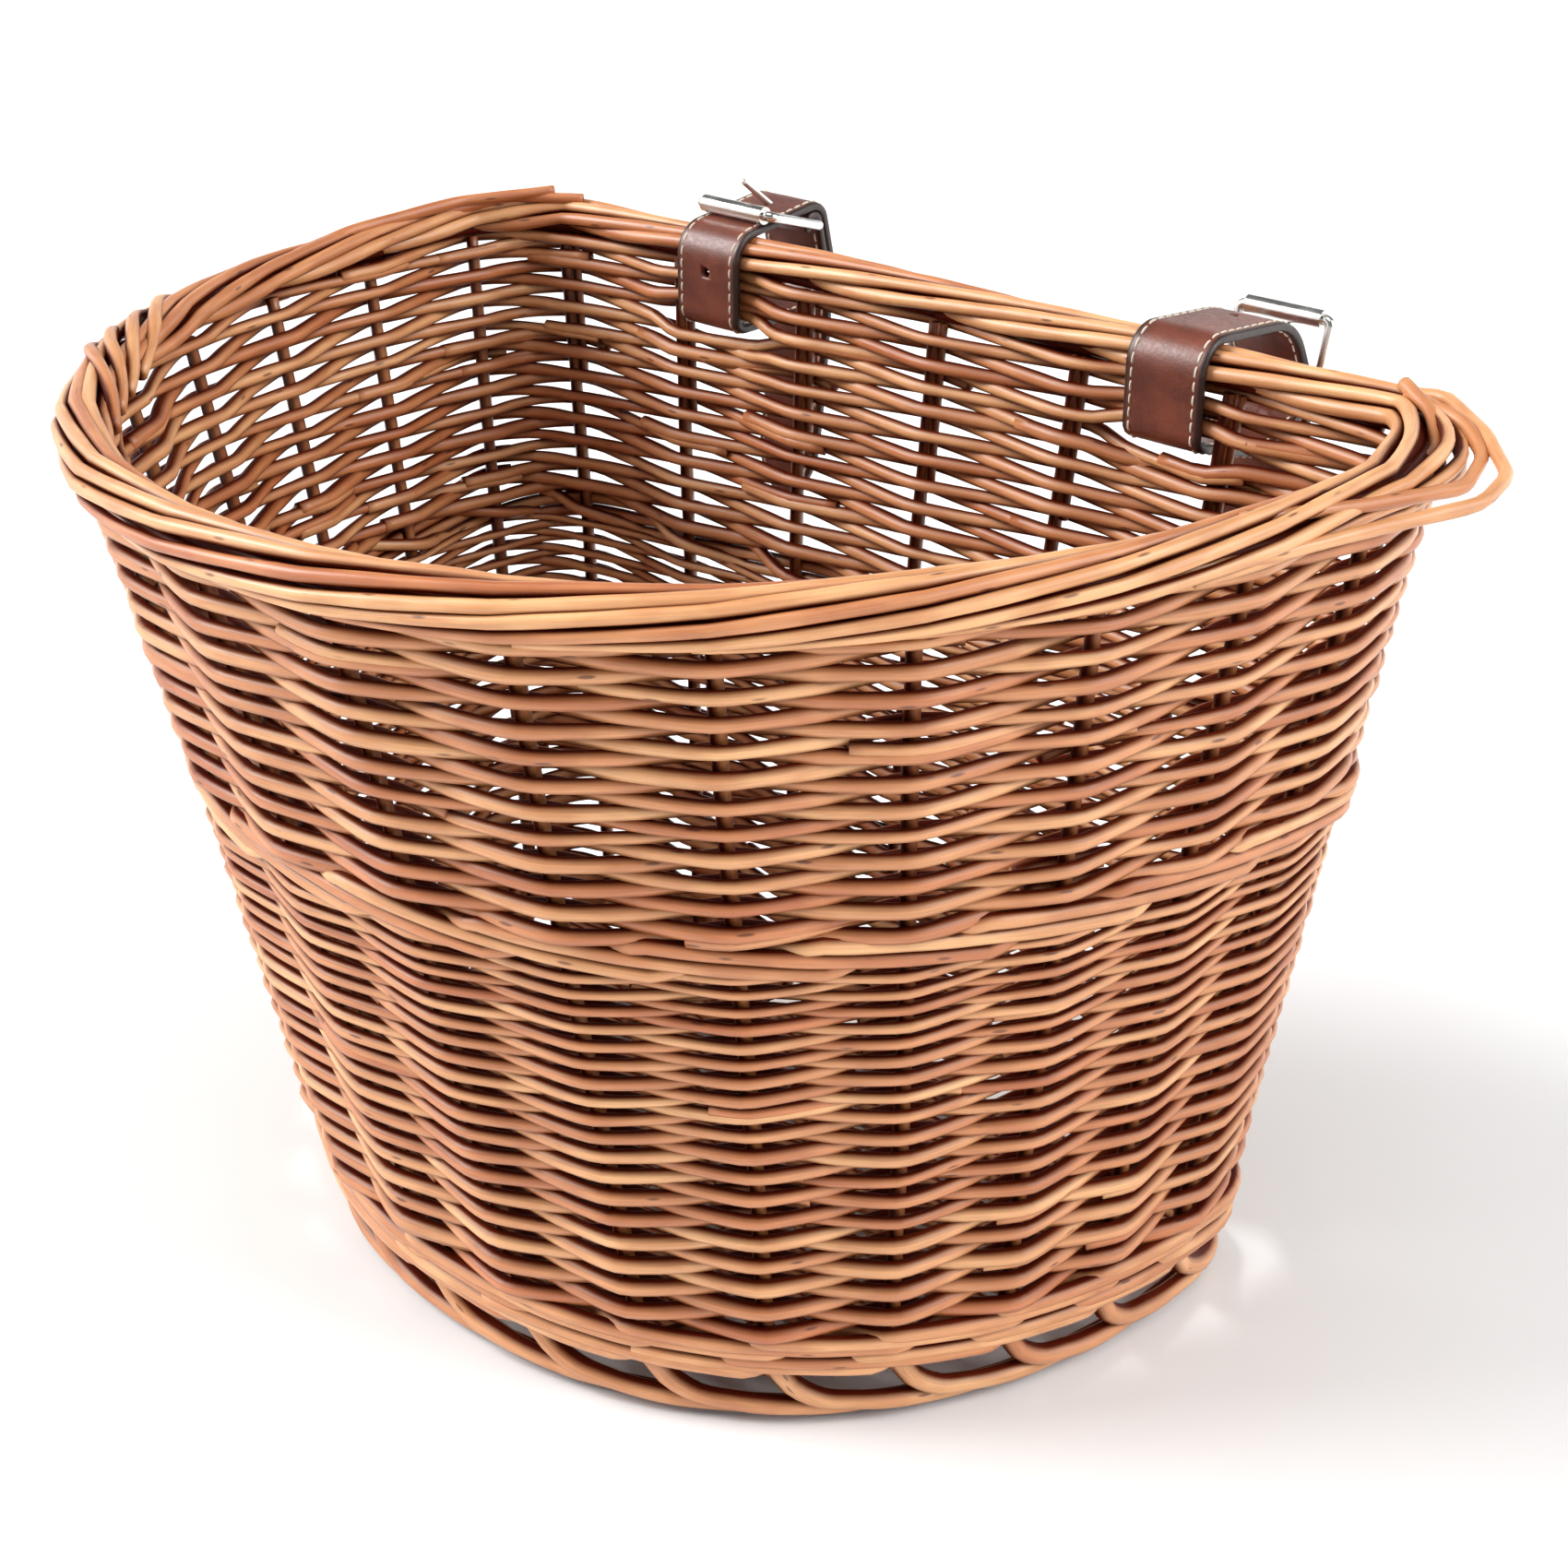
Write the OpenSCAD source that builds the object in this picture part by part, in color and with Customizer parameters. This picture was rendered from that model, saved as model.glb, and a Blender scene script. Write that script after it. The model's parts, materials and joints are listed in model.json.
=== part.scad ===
// Bicycle handlebar basket: a D-shaped willow basket with two buckled leather straps.
// The origin is on the ground under the middle of the whole object. X runs along the handlebar,
// +Y points back towards the handlebar and +Z up. Sizes are in millimetres, angles in degrees.

/* [Basket] */
// Width over the rim border
rim_width = 354; // [346:1:364]
// Depth over the rim border, from front to back
rim_depth = 265; // [255:1:275]
// Height of the top of the rim border
rim_height = 251; // [245:1:257]
// Width over the foot border
foot_width = 276; // [266:1:286]
// Depth over the foot border, from front to back
foot_depth = 180; // [172:1:188]
// How far the back wall leans back from foot to rim
back_lean = 19; // [14:1:24]
// Radius of the two back corners at the rim
rim_corner = 28; // [24:1:34]
// Radius of the two back corners at the foot
foot_corner = 25; // [22:1:30]

/* [Weave] */
// Diameter of the rolled rim border
border_d = 15; // [13:0.5:16]
// Thickness of the woven wall outside its stakes
weave_t = 6; // [5:0.5:7]
// Diameter of a wall stake
stake_d = 4.6; // [3.6:0.2:4.6]
// Distance between the stakes of the back wall
back_pitch = 48.85; // [48.8:0.05:49.4]
// Number of stakes round the sides and front
side_stakes = 15; // [11:4:19]
// Height of the middle wale
mid_wale_z = 149; // [135:1:160]
// Number of sticks in the base
base_stick_count = 7; // [5:2:7]

/* [Straps] */
// Width of a strap
strap_w = 24; // [20:1:24]
// Thickness of the leather
strap_t = 2.4; // [2:0.1:2.5]
// Length of a whole strap
strap_length = 232; // [222:1:250]
// Diameter of the handlebar that the left strap is buckled round
left_bar_d = 22.2; // [20:0.1:23]
// Diameter of the handlebar that the slack right strap would take
right_bar_d = 31.8; // [28:0.1:32]
// Diameter of the buckle wire
wire_d = 3; // [2.6:0.1:3]
// Length of the buckle between the middles of its heel bar and its front bar
buckle_length = 23.4; // [22:0.1:24]

/* [Hidden] */
$fn = 48;

willow = "peru";
willow_dark = "sienna";
leather = "saddlebrown";
nickel = "silver";

// Heights of the bands of weave, from the ground up
foot_h = 8;
base_z = 10;
base_t = 7;
bottom_wale_z = 18;
bottom_wale_h = 14;
mid_wale_h = 11;
border_r = border_d / 2;
border_z = rim_height - border_r;
wall_top = border_z - border_r;

// The wall line runs through the stakes. The border rolls over it to the outside
border_shift = 3.5;
border_out = border_shift + border_r;
foot_out = 5;
foot_in = 4.5;
wale_t = weave_t + 1;

// How far the buckle of the slack right strap reaches behind the wall line at the rim
strap_reach = 54.4;
back_y = (rim_depth - border_out - strap_reach) / 2;

// Wall lines at the foot and the rim: half width, back, front and corner radius
foot_line = [
    foot_width / 2 - foot_out, back_y - back_lean,
    back_y - back_lean - foot_depth + 2 * foot_out, foot_corner];
rim_line = [
    rim_width / 2 - border_out, back_y,
    back_y - rim_depth + 2 * border_out, rim_corner];
foot_line_z = 6;
rim_line_z = rim_height - 11;

// Roundness of the front: 2 is an ellipse, and more is squarer
front_power = 2.15;
corner_steps = 8;
front_steps = 46;

// Fits: pins run in their bores, and pieces that move past each other keep a gap
pin_gap = 0.05;
side_gap = 0.8;
leather_gap = 0.1;
rim_gap = 0.2;
stake_end_gap = 0.5;
stake_wall_gap = 0.3;
base_edge_gap = 0.8;
seat_cut = 0.1;
overshoot = 1;

wire_r = wire_d / 2;
pin_r = wire_r + pin_gap;
roller_r = 2.6;
prong_r = 1.2;
prong_tip_r = 0.9;
prong_w = 3;
prong_reach = 23;
prong_gap = 0.7;
prong_slot_w = 3.6;
hole_r = 1.6;
strap_x = back_pitch * 1.66;

function dir(angle) = [cos(angle), sin(angle)];
function power(v, p) = sign(v) * pow(abs(v), p);

// ---- The D of the basket ----

// Wall line at a height
function wall_line(z) =
    let (h = (z - foot_line_z) / (rim_line_z - foot_line_z))
    foot_line * (1 - h) + rim_line * h;

// Points round a wall line, moved out by a distance, clockwise from the middle of the back
function d_outline(line, out = 0) =
    let (
        a = line[0] + out, back = line[1] + out, front = line[2] - out,
        r = line[3] + out, shoulder = back - r)
    concat(
        [[0, back]],
        [for (i = [0 : corner_steps]) [a - r, shoulder] + r * dir(90 - 90 * i / corner_steps)],
        [for (i = [1 : front_steps - 1])
            let (t = 180 * i / front_steps)
            [a * power(cos(t), 2 / front_power),
             shoulder - (shoulder - front) * power(sin(t), 2 / front_power)]],
        [for (i = [0 : corner_steps]) [r - a, shoulder] + r * dir(180 - 90 * i / corner_steps)]);

// Y of the front of a wall line at a distance from its middle
function front_at(line, x) =
    let (shoulder = line[1] - line[3])
    shoulder - (shoulder - line[2]) * pow(1 - pow(abs(x) / line[0], front_power), 1 / front_power);

// The outline at a height, as points in space
function loop_at(z, out) = [for (p = d_outline(wall_line(z), out)) [p[0], p[1], z]];

// Closed ring through loops of points, the last one joined to the first
module ring_solid(loops) {
    n = len(loops[0]);
    m = len(loops);
    polyhedron(
        points = [for (loop = loops) each loop],
        faces = [for (j = [0 : m - 1], i = [0 : n - 1])
            let (a = j * n, b = (j + 1) % m * n, k = (i + 1) % n)
            each [[a + i, a + k, b + k], [a + i, b + k, b + i]]]);
}

// Band of woven wall between two heights, outside the stakes
module wall_band(low, high, thickness) {
    ring_solid([
        loop_at(low, thickness), loop_at(high, thickness), loop_at(high, 0), loop_at(low, 0)]);
}

module base_sticks() {
    color(willow_dark)
        stick_row(stake_d / 2);
}

// The sticks of the base, from front to back, or the channels that they lie in
stick_inset = 12;
module stick_row(r) {
    line = wall_line(base_z);
    pitch = 2 * line[0] / (base_stick_count + 1);
    for (i = [1 : base_stick_count]) {
        x = i * pitch - line[0];
        front = front_at(line, x) + stick_inset;
        back = line[1] - stick_inset;
        translate([x, front, base_z + base_t / 2])
            rotate([-90, 0, 0])
                cylinder(r = r, h = back - front);
    }
}

module base_weave() {
    color(willow)
        difference() {
            translate([0, 0, base_z])
                linear_extrude(base_t)
                    polygon(d_outline(wall_line(base_z), -stake_d - base_edge_gap));
            stick_row(stake_d / 2 + pin_gap);
        }
}

module foot_border() {
    color(willow)
        linear_extrude(foot_h)
            difference() {
                polygon(d_outline(wall_line(0), foot_out));
                polygon(d_outline(wall_line(0), -foot_in));
            }
}

module bottom_wale() {
    color(willow)
        wall_band(bottom_wale_z, bottom_wale_z + bottom_wale_h, wale_t);
}

module lower_wall_weave() {
    color(willow)
        wall_band(bottom_wale_z + bottom_wale_h, mid_wale_z, weave_t);
}

module mid_wale() {
    color(willow)
        wall_band(mid_wale_z, mid_wale_z + mid_wale_h, wale_t);
}

// The top band has a slot for each strap to pass through
module upper_wall_weave() {
    color(willow)
        difference() {
            wall_band(mid_wale_z + mid_wale_h, wall_top, weave_t);
            for (side = [-1, 1])
                translate([side * strap_x - strap_w / 2 - side_gap, back_y - slot_reach, slot_z])
                    cube([strap_w + 2 * side_gap, 2 * slot_reach, slot_h]);
        }
}

module rim_border() {
    sides = 12;
    color(willow)
        ring_solid([for (i = [0 : sides - 1])
            let (around = dir(360 * i / sides))
            [for (p = d_outline(rim_line, border_shift + border_r * around[0]))
                [p[0], p[1], border_z + border_r * around[1]]]]);
}

// ---- The stakes ----

// Distance run along the rim at each of its points, for finding evenly spaced places on it
rim_points = d_outline(rim_line);
rim_count = len(rim_points);
function rim_step(i) = norm(rim_points[(i + 1) % rim_count] - rim_points[i % rim_count]);
rim_run = [for (i = 0, run = 0; i <= rim_count; run = run + rim_step(i), i = i + 1) [run, i]];
rim_length = rim_run[rim_count][0];

// The back has a stake in its middle and three on each hand, the last ones at the corners
back_stakes_each = 3;
side_shift = 12;
side_pitch = (rim_length - 2 * back_stakes_each * back_pitch) / (side_stakes + 1);
function side_run(i) = back_stakes_each * back_pitch + side_shift + i * side_pitch;
first_front = (side_stakes + 1) / 4 + 1;
last_front = side_stakes - (side_stakes + 1) / 4;

// Point of an outline at a distance run along the rim
function at_run(points, run) =
    let (f = lookup(run, rim_run), i = floor(f), g = f - i)
    points[i % rim_count] * (1 - g) + points[(i + 1) % rim_count] * g;

module rod(from, to, r) {
    v = to - from;
    translate(from)
        rotate([0, acos(v[2] / norm(v)), atan2(v[1], v[0])])
            cylinder(r = r, h = norm(v));
}

// A stake stands against the inside of the woven wall, from the foot to the border
module stake(run) {
    low = foot_h + stake_end_gap;
    high = wall_top - stake_end_gap;
    inward = -stake_d / 2 - stake_wall_gap;
    rod(at_run(loop_at(low, inward), run), at_run(loop_at(high, inward), run), stake_d / 2);
}

module back_stakes() {
    color(willow_dark)
        for (i = [-back_stakes_each : back_stakes_each])
            stake((i < 0 ? rim_length : 0) + i * back_pitch);
}

module right_side_stakes() {
    color(willow_dark)
        for (i = [1 : first_front - 1])
            stake(side_run(i));
}

module front_stakes() {
    color(willow_dark)
        for (i = [first_front : last_front])
            stake(side_run(i));
}

module left_side_stakes() {
    color(willow_dark)
        for (i = [last_front + 1 : side_stakes])
            stake(side_run(i));
}

// ---- The straps ----
// A strap is drawn in the plane [y, z] as a belt that runs clockwise round circles: the heel bar
// of its buckle, the handlebar, the turn inside the wall, the rim border, the heel bar again and
// then behind the handlebar. Each circle is [middle, radius of the middle of the leather].

// Middles of the handlebars that the straps go round, close behind the border and a little lower
left_bar_gap = 0.3;
left_bar_drop = 7;
right_bar_gap = 0.9;
right_bar_drop = 10.5;
left_bar = [back_y + border_out + left_bar_gap + left_bar_d / 2, border_z - left_bar_drop];
right_bar = [back_y + border_out + right_bar_gap + right_bar_d / 2, border_z - right_bar_drop];

eye_r = pin_r + strap_t / 2;
over_eye_r = pin_r + strap_t * 1.5 + leather_gap;
rim_roll = [[back_y + border_shift, border_z], border_r + rim_gap + strap_t / 2];
turn_r = 3.5;
inside_y = rim_roll[0][0] - rim_roll[1];
turn = [[inside_y + turn_r, left_bar[1] - left_bar_d / 2 - strap_t / 2 + seat_cut + turn_r], turn_r];

// Where the heel bars sit on the handlebars, and which way the buckles point
left_heel_at = 65;
right_heel_at = -25;
function heel(bar, bar_d, at) = bar + (bar_d / 2 + pin_r + strap_t + leather_gap) * dir(at);
left_heel = heel(left_bar, left_bar_d, left_heel_at);
right_heel = heel(right_bar, right_bar_d, right_heel_at);
left_buckle_at = 163.4;
right_buckle_at = 75;
left_prong_lift = 21;
right_prong_lift = 10;

// The angles between which each strap is cut away for its prong
left_prong_room = [78, left_buckle_at + 9];
right_prong_room = [-26, right_buckle_at + 27];

left_path = [
    [left_heel, eye_r], [left_bar, left_bar_d / 2 + strap_t / 2 - seat_cut], turn, rim_roll,
    [left_heel, over_eye_r], [left_bar, left_bar_d / 2 + strap_t * 1.5 + leather_gap]];
right_path = [
    [right_heel, eye_r], [right_bar, right_bar_d / 2 + strap_t / 2 - seat_cut], turn, rim_roll,
    [right_bar, right_bar_d / 2 + strap_t / 2 - seat_cut], [right_heel, over_eye_r]];
left_tail_at = -7;
right_tail_at = -22;

// The slots in the wall take the left strap level and the right strap as it rises
slot_below = 3;
slot_above = 1;
slot_z = left_bar[1] - left_bar_d / 2 - strap_t - slot_below;
slot_h = strap_t + slot_below + slot_above;
slot_reach = 12;

// Where one of the holes of each strap shows
left_hole_z = border_z - 3;
right_hole_y = right_bar[0] - 1;

// Direction, from both middles, of the line that leaves one circle for the next, clockwise
function leaves(from, to) =
    let (v = to[0] - from[0])
    atan2(v[1], v[0]) + acos((from[1] - to[1]) / norm(v));
function on(circle, angle) = circle[0] + circle[1] * dir(angle);
function leave_all(path) = [for (i = [0 : len(path) - 2]) leaves(path[i], path[i + 1])];
function turned(from, to) = ((from - to) % 360 + 360) % 360;

// Length of leather from the first circle to the end angle on the last
function path_length(path, end, i = 1) =
    let (
        out = leave_all(path),
        run = norm(on(path[i], out[i - 1]) - on(path[i - 1], out[i - 1])),
        bend = turned(out[i - 1], i == len(path) - 1 ? end : out[i]) * path[i][1] * PI / 180)
    run + bend + (i == len(path) - 1 ? 0 : path_length(path, end, i + 1));

// One face of the leather, a distance outside the middle, as points along the path
bend_step = 6;
function face(path, end, side) =
    let (out = leave_all(path), last = len(path) - 1)
    concat(
        [path[0][0] + (path[0][1] + side) * dir(out[0])],
        [for (i = [1 : last])
            let (
                from = out[i - 1],
                sweep = turned(from, i == last ? end : out[i]),
                steps = ceil(sweep / bend_step))
            for (k = [0 : steps])
                path[i][0] + (path[i][1] + side) * dir(from - sweep * k / steps)]);

// Turns a shape of the plane [y, z] into a solid of a width, centred on x
module across(x, width) {
    translate([x - width / 2, 0, 0])
        rotate([90, 0, 90])
            linear_extrude(width)
                children();
}

// Room for the prong: round the heel bar, and through the leather over its whole swing
module prong_room(x, heel_point, low, high) {
    reach = 15;
    steps = 4;
    across(x, prong_slot_w)
        translate(heel_point) {
            circle(r = pin_r + prong_r + prong_gap);
            polygon(concat(
                [[0, 0]], [for (k = [0 : steps]) reach * dir(low + (high - low) * k / steps)]));
        }
}

// The leather, with a round eye for the heel bar and a true round seat for the handlebar. The end
// that is turned round the heel bar fills the corner between the eye and the handlebar
module strap(x, path, end, heel_point, room) {
    outer = face(path, end, strap_t / 2);
    inner = face(path, end, -strap_t / 2);
    bar = path[1];
    out = leaves(path[0], bar);
    difference() {
        union() {
            across(x, strap_w)
                polygon(concat(outer, [for (i = [len(inner) - 1 : -1 : 0]) inner[i]]));
            across(x, strap_w)
                translate(heel_point)
                    circle(r = eye_r + strap_t / 2);
            across(x, strap_w)
                polygon([bar[0], heel_point, on(path[0], out), on(bar, out)]);
        }
        translate([x, heel_point[0], heel_point[1]])
            bar_along_x(pin_r, strap_w + 2 * overshoot);
        translate([x, bar[0][0], bar[0][1]])
            bar_along_x(bar[1] - strap_t / 2 + seat_cut, strap_w + 2 * overshoot);
        prong_room(x, heel_point, room[0], room[1]);
    }
}

module left_strap() {
    color(leather)
        difference() {
            strap(-strap_x, left_path, left_tail_at, left_heel, left_prong_room);
            translate([-strap_x, inside_y, left_hole_z])
                rotate([90, 0, 0])
                    cylinder(r = hole_r, h = 2 * strap_t, center = true);
        }
}

module right_strap() {
    color(leather)
        difference() {
            strap(strap_x, right_path, right_tail_at, right_heel, right_prong_room);
            translate([strap_x, right_hole_y, right_bar[1] + right_bar_d / 2 + strap_t / 2])
                cylinder(r = hole_r, h = 2 * strap_t, center = true);
        }
}

// The free end of a strap hangs from a bend line that sits just past the end of the belt
function tail_pivot(path, end) =
    on(path[len(path) - 1], end) + (strap_t / 2 + pin_gap) * dir(end - 90);

module tail(x, path, end) {
    length = strap_length - path_length(path, end) - 2 * PI * eye_r;
    tip_r = strap_w * 0.75;
    pivot = tail_pivot(path, end);
    translate([x, pivot[0], pivot[1]])
        rotate([end, 0, 0]) {
            bar_along_x(strap_t / 2, strap_w);
            translate([0, strap_t / 2, -length])
                rotate([90, 0, 0])
                    linear_extrude(strap_t)
                        tail_outline(length, tip_r);
        }
}

// Flat shape of a tail: straight sides down to a round tip
module tail_outline(length, tip_r) {
    translate([-strap_w / 2, tip_r])
        square([strap_w, length - tip_r]);
    intersection() {
        translate([-strap_w / 2, 0])
            square([strap_w, tip_r]);
        translate([0, tip_r])
            circle(r = tip_r);
    }
}

module left_strap_tail() {
    color(leather)
        tail(-strap_x, left_path, left_tail_at);
}

module right_strap_tail() {
    color(leather)
        tail(strap_x, right_path, right_tail_at);
}

// ---- The buckles ----

wire_bend = wire_r + 0.5;
arm_x = strap_w / 2 + side_gap / 2 + wire_bend;

// Puts a piece drawn along +Y from the heel bar onto a buckle that points at an angle
module on_buckle(x, heel_point, angle) {
    translate([x, heel_point[0], heel_point[1]])
        rotate([angle, 0, 0])
            children();
}

module bar_along_x(r, length) {
    rotate([0, 90, 0])
        cylinder(r = r, h = length, center = true);
}

// One wire bent into a rectangle, its heel bar on the axis
module buckle_frame() {
    for (y = [0, buckle_length], side = [-1, 1])
        translate([side * (arm_x - wire_bend), y == 0 ? wire_bend : buckle_length - wire_bend, 0])
            rotate([0, 0, (y == 0 ? -1 : 0) * 90 + (side > 0 ? 0 : (y == 0 ? -90 : 90))])
                rotate_extrude(angle = 90)
                    translate([wire_bend, 0])
                        circle(r = wire_r);
    for (y = [0, buckle_length])
        translate([0, y, 0])
            bar_along_x(wire_r, 2 * (arm_x - wire_bend));
    for (side = [-1, 1])
        translate([side * arm_x, wire_bend, 0])
            rotate([-90, 0, 0])
                cylinder(r = wire_r, h = buckle_length - 2 * wire_bend);
}

module buckle_roller() {
    translate([0, buckle_length, 0])
        difference() {
            bar_along_x(roller_r, strap_w);
            bar_along_x(pin_r, strap_w + 2 * overshoot);
        }
}

module buckle_prong() {
    difference() {
        union() {
            bar_along_x(pin_r + prong_r, prong_w);
            rotate([-90, 0, 0])
                cylinder(r1 = prong_r, r2 = prong_tip_r, h = prong_reach);
            translate([0, prong_reach, 0])
                sphere(r = prong_tip_r);
        }
        bar_along_x(pin_r, prong_w + 2 * overshoot);
    }
}

module left_buckle_frame() {
    color(nickel)
        on_buckle(-strap_x, left_heel, left_buckle_at)
            buckle_frame();
}

module left_buckle_roller() {
    color(nickel)
        on_buckle(-strap_x, left_heel, left_buckle_at)
            buckle_roller();
}

module left_buckle_prong() {
    color(nickel)
        on_buckle(-strap_x, left_heel, left_buckle_at - left_prong_lift)
            buckle_prong();
}

module right_buckle_frame() {
    color(nickel)
        on_buckle(strap_x, right_heel, right_buckle_at)
            buckle_frame();
}

module right_buckle_roller() {
    color(nickel)
        on_buckle(strap_x, right_heel, right_buckle_at)
            buckle_roller();
}

module right_buckle_prong() {
    color(nickel)
        on_buckle(strap_x, right_heel, right_buckle_at - right_prong_lift)
            buckle_prong();
}

base_sticks();
base_weave();
foot_border();
bottom_wale();
lower_wall_weave();
mid_wale();
upper_wall_weave();
rim_border();
back_stakes();
right_side_stakes();
front_stakes();
left_side_stakes();
left_strap();
left_strap_tail();
left_buckle_frame();
left_buckle_roller();
left_buckle_prong();
right_strap();
right_strap_tail();
right_buckle_frame();
right_buckle_roller();
right_buckle_prong();
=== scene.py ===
"""Looks of a willow handlebar basket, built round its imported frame.

Lengths are in metres and angles in degrees, in the frame's own axes: +X runs along the handlebar,
+Y points back towards it, and +Z is up. MM turns the sizes written here into metres.
"""

import json
import math
import random

import bpy
import numpy as np
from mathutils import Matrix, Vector


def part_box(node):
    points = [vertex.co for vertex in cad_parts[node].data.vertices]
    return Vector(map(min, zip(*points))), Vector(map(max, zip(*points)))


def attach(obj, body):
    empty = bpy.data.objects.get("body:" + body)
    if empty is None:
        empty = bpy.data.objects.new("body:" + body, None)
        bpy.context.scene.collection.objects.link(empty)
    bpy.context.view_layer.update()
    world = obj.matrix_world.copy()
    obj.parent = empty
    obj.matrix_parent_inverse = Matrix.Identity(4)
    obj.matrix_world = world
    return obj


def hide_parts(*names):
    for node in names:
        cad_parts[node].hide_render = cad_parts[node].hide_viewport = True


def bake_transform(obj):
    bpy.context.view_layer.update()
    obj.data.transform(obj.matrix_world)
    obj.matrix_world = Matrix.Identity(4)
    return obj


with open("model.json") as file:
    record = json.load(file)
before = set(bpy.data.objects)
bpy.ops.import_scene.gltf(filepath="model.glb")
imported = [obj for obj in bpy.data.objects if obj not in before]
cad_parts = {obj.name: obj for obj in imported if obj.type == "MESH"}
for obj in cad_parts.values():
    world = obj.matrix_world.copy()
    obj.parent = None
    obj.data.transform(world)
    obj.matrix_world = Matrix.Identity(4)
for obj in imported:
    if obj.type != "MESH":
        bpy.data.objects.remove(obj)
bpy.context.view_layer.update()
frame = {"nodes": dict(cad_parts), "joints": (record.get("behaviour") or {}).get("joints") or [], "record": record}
MM = 0.001
dice = random.Random(7)


def run_along(points):
    """The length run along a line at each of its points."""
    return np.concatenate([[0], np.cumsum(np.linalg.norm(np.diff(points, axis=0), axis=1))])


def unit(vectors, least=0.0):
    """Vectors made one long. Those shorter than least stay shorter."""
    return vectors / np.maximum(np.linalg.norm(vectors, axis=-1, keepdims=True), least)


# ---- The D of the basket ----
# The frame gives the boxes of its nodes. These are the sizes of the design that a box doesn't show.

BORDER_SHIFT = 3.5 * MM  # the rolled rim's middle stands this far outside the wall line
FOOT_OUT = 5 * MM  # the foot stands this far outside the wall line
RIM_CORNER = 28 * MM  # radius of the two back corners, at the rim and at the foot
FOOT_CORNER = 25 * MM
FRONT_POWER = 2.15  # 2 would make the front half an ellipse, and more makes it squarer
CORNER_PARTS = 8  # a corner and the front are counted in this many places
FRONT_PARTS = 46
ROUND = 2 + 2 * CORNER_PARTS + FRONT_PARTS  # places round the D, one for each half of its back
LINE_BELOW = 11 * MM  # the wall line of the rim is this far below its top

rim_low, rim_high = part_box("rim_border")
foot_low, foot_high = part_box("foot_border")
BORDER_R = (rim_high.z - rim_low.z) / 2
BORDER_Z = (rim_high.z + rim_low.z) / 2
border_out = BORDER_SHIFT + BORDER_R
RIM_LEVEL = rim_high.z - LINE_BELOW

# Wall lines at the ground and at the rim: half width, back, front and corner radius
FOOT_LINE = np.array([
    foot_high.x - FOOT_OUT, foot_high.y - FOOT_OUT, foot_low.y + FOOT_OUT, FOOT_CORNER])
RIM_LINE = np.array([
    rim_high.x - border_out, rim_high.y - border_out, rim_low.y + border_out, RIM_CORNER])


def wall_at(place, z, out):
    """Points of the wall. Place counts clockwise along the D, from the middle of its back."""
    place, z, out = np.broadcast_arrays(*(np.asarray(v, float) for v in (place, z, out)))
    share = (z / RIM_LEVEL)[:, None]
    line = FOOT_LINE * (1 - share) + RIM_LINE * share
    a, back, front, r = line[:, 0] + out, line[:, 1] + out, line[:, 2] - out, line[:, 3] + out
    shoulder = back - r
    first, last = 1 + CORNER_PARTS, 1 + CORNER_PARTS + FRONT_PARTS
    right_turn = np.radians(90 - 90 * np.clip((place - 1) / CORNER_PARTS, 0, 1))
    left_turn = np.radians(180 - 90 * np.clip((place - last) / CORNER_PARTS, 0, 1))
    round_front = np.radians(180 * np.clip((place - first) / FRONT_PARTS, 0, 1))
    cos, sin = np.cos(round_front), np.sin(round_front)
    front_x = a * np.sign(cos) * np.abs(cos) ** (2 / FRONT_POWER)
    front_y = shoulder - (shoulder - front) * np.abs(sin) ** (2 / FRONT_POWER)
    end = last + CORNER_PARTS
    where = [place < 1, place < first, place < last, place < end]
    x = np.select(
        where,
        [(a - r) * place, a - r + r * np.cos(right_turn), front_x, r - a + r * np.cos(left_turn)],
        (r - a) * (end + 1 - place))
    y = np.select(
        where,
        [back, shoulder + r * np.sin(right_turn), front_y, shoulder + r * np.sin(left_turn)],
        back)
    return np.stack([x, y, z], axis=1)


# The stakes: one in the middle of the back, three each side of it, and 15 round the sides and front
BACK_PITCH = 48.85 * MM
BACK_EACH = 3
SIDE_STAKES = 15
SIDE_SHIFT = 12 * MM  # the stakes of the sides and front are all this much further round
STAKES = 2 * BACK_EACH + 1 + SIDE_STAKES
places = np.linspace(0, ROUND, 100 * ROUND + 1)
rim_points = wall_at(places, RIM_LEVEL, 0)
rim_run = run_along(rim_points)
back_run = BACK_EACH * BACK_PITCH
side_pitch = (rim_run[-1] - 2 * back_run) / (SIDE_STAKES + 1)
stake_runs = np.array(
    [i * BACK_PITCH for i in range(BACK_EACH + 1)]
    + [back_run + SIDE_SHIFT + i * side_pitch for i in range(1, SIDE_STAKES + 1)]
    + [rim_run[-1] - i * BACK_PITCH for i in range(BACK_EACH, -1, -1)])


def wall(q, z, out):
    """Points of the wall at stake numbers q, such as 3.5 for halfway from stake 3 to stake 4."""
    run = np.interp(np.asarray(q, float) % STAKES, np.arange(STAKES + 1), stake_runs)
    return wall_at(np.interp(run, rim_run, places), z, out)


# ---- Sizes of the straps, which the weave makes room for ----

STRAP_W = 24 * MM
STRAP_T = 2.4 * MM
RIGHT_BAR_R = 15.9 * MM
mounts = {m["name"]: m for m in frame["record"]["mounts"]}
joints = {j["name"]: j for j in frame["joints"]}
LEFT_BAR_R = mounts["left_handlebar_loop"]["dims"]["r_mm"] * MM


def bar_of(mount):
    """The middle (y, z) of the handlebar in a strap's loop."""
    return np.array(mounts[mount]["pos_m"][1:])


def pivot_of(joint):
    """The place (y, z) of a hinge that turns about X."""
    return np.array(joints[joint]["pos_m"][1:])


left_bar, right_bar = bar_of("left_handlebar_loop"), bar_of("right_handlebar_strap")
strap_x = [joints[side + "_buckle_hinge"]["pos_m"][0] for side in ("left", "right")]


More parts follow.
